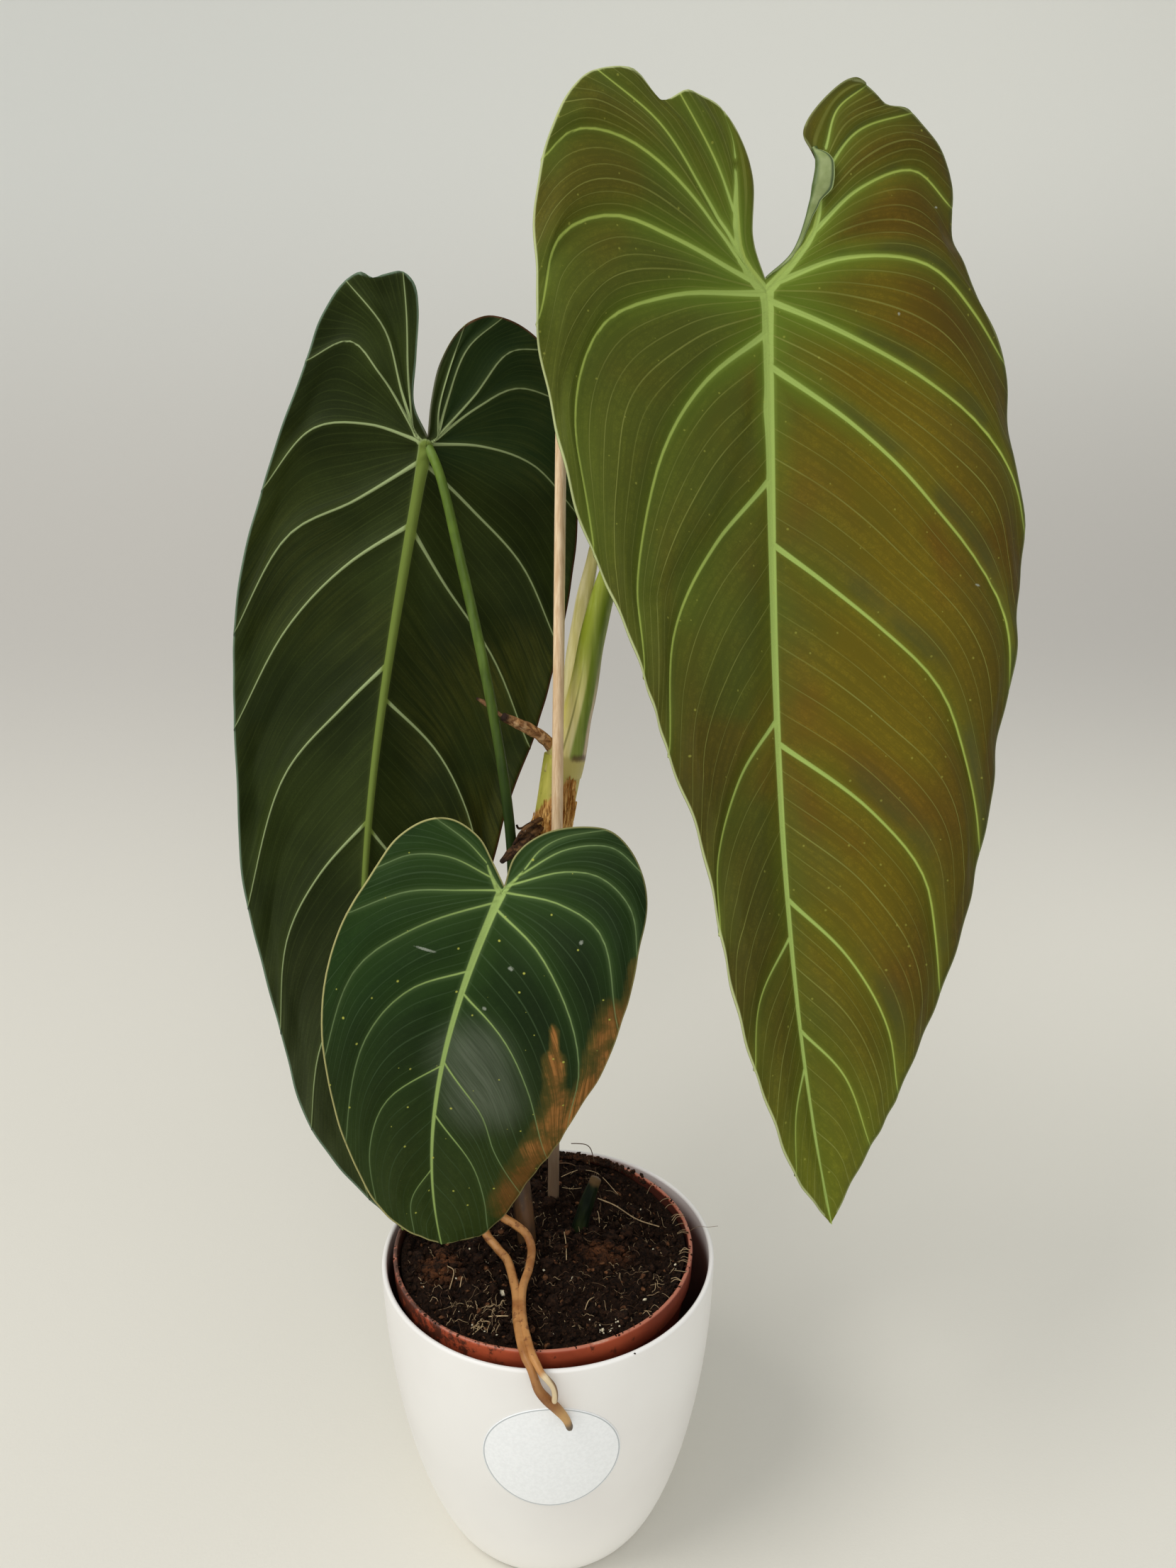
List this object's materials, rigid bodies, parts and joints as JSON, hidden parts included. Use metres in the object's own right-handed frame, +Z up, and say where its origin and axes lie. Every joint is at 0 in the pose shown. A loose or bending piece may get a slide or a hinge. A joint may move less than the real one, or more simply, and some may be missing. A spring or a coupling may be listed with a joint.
{
  "type": "potted philodendron melanochrysum",
  "caption": "Climbing aroid with large heart-shaped velvet leaves on long stalks beside a stake, in a plastic nursery pot that stands inside a white cover pot.",
  "frame": {"origin": "centre of the cover pot's flat base, on the surface it stands on", "axes": "+Z up along the pots' axis, +X to the right and +Y away from the viewer as the upper faces of the two front leaves are seen"},
  "size_m": [0.3042, 0.1718, 0.5492],
  "materials": {
    "cover_plastic": "smooth satin white moulded plastic",
    "nursery_plastic": "terracotta-coloured moulded plastic, scuffed pale at the rim",
    "peat": "moist dark peat with fine pale fibres",
    "bamboo": "peeled bamboo, darker and damp near the soil",
    "stem_skin": "green to brown plant skin with nodes",
    "large_leaf": "velvety bronze-green blade with pale glowing veins",
    "left_leaf": "matt dark olive underside with raised pale green veins",
    "small_leaf": "velvety deep green blade with light veins and a scorched edge",
    "sheath": "thin translucent tan sheath",
    "dry_skin": "dry brown fibrous skin",
    "dead_root": "dry brown woody root",
    "root": "satin orange-tan aerial root",
    "stub": "dark green dying stalk with an orange-brown cut",
    "paper": "plain white satin sticker"
  },
  "bodies": {
    "root": {"cover_pot": "cover_plastic", "nursery_pot": "nursery_plastic", "soil": "peat", "stake": "bamboo", "main_stem": "stem_skin", "large_leaf": "large_leaf", "left_leaf": "left_leaf", "small_leaf": "small_leaf", "bud_sheath": "sheath", "dry_sheath": "dry_skin", "dead_root": "dead_root", "dry_stub": "dry_skin", "aerial_roots": "root", "cut_petiole": "stub", "blank_label": "paper"}
  },
  "joints": []
}
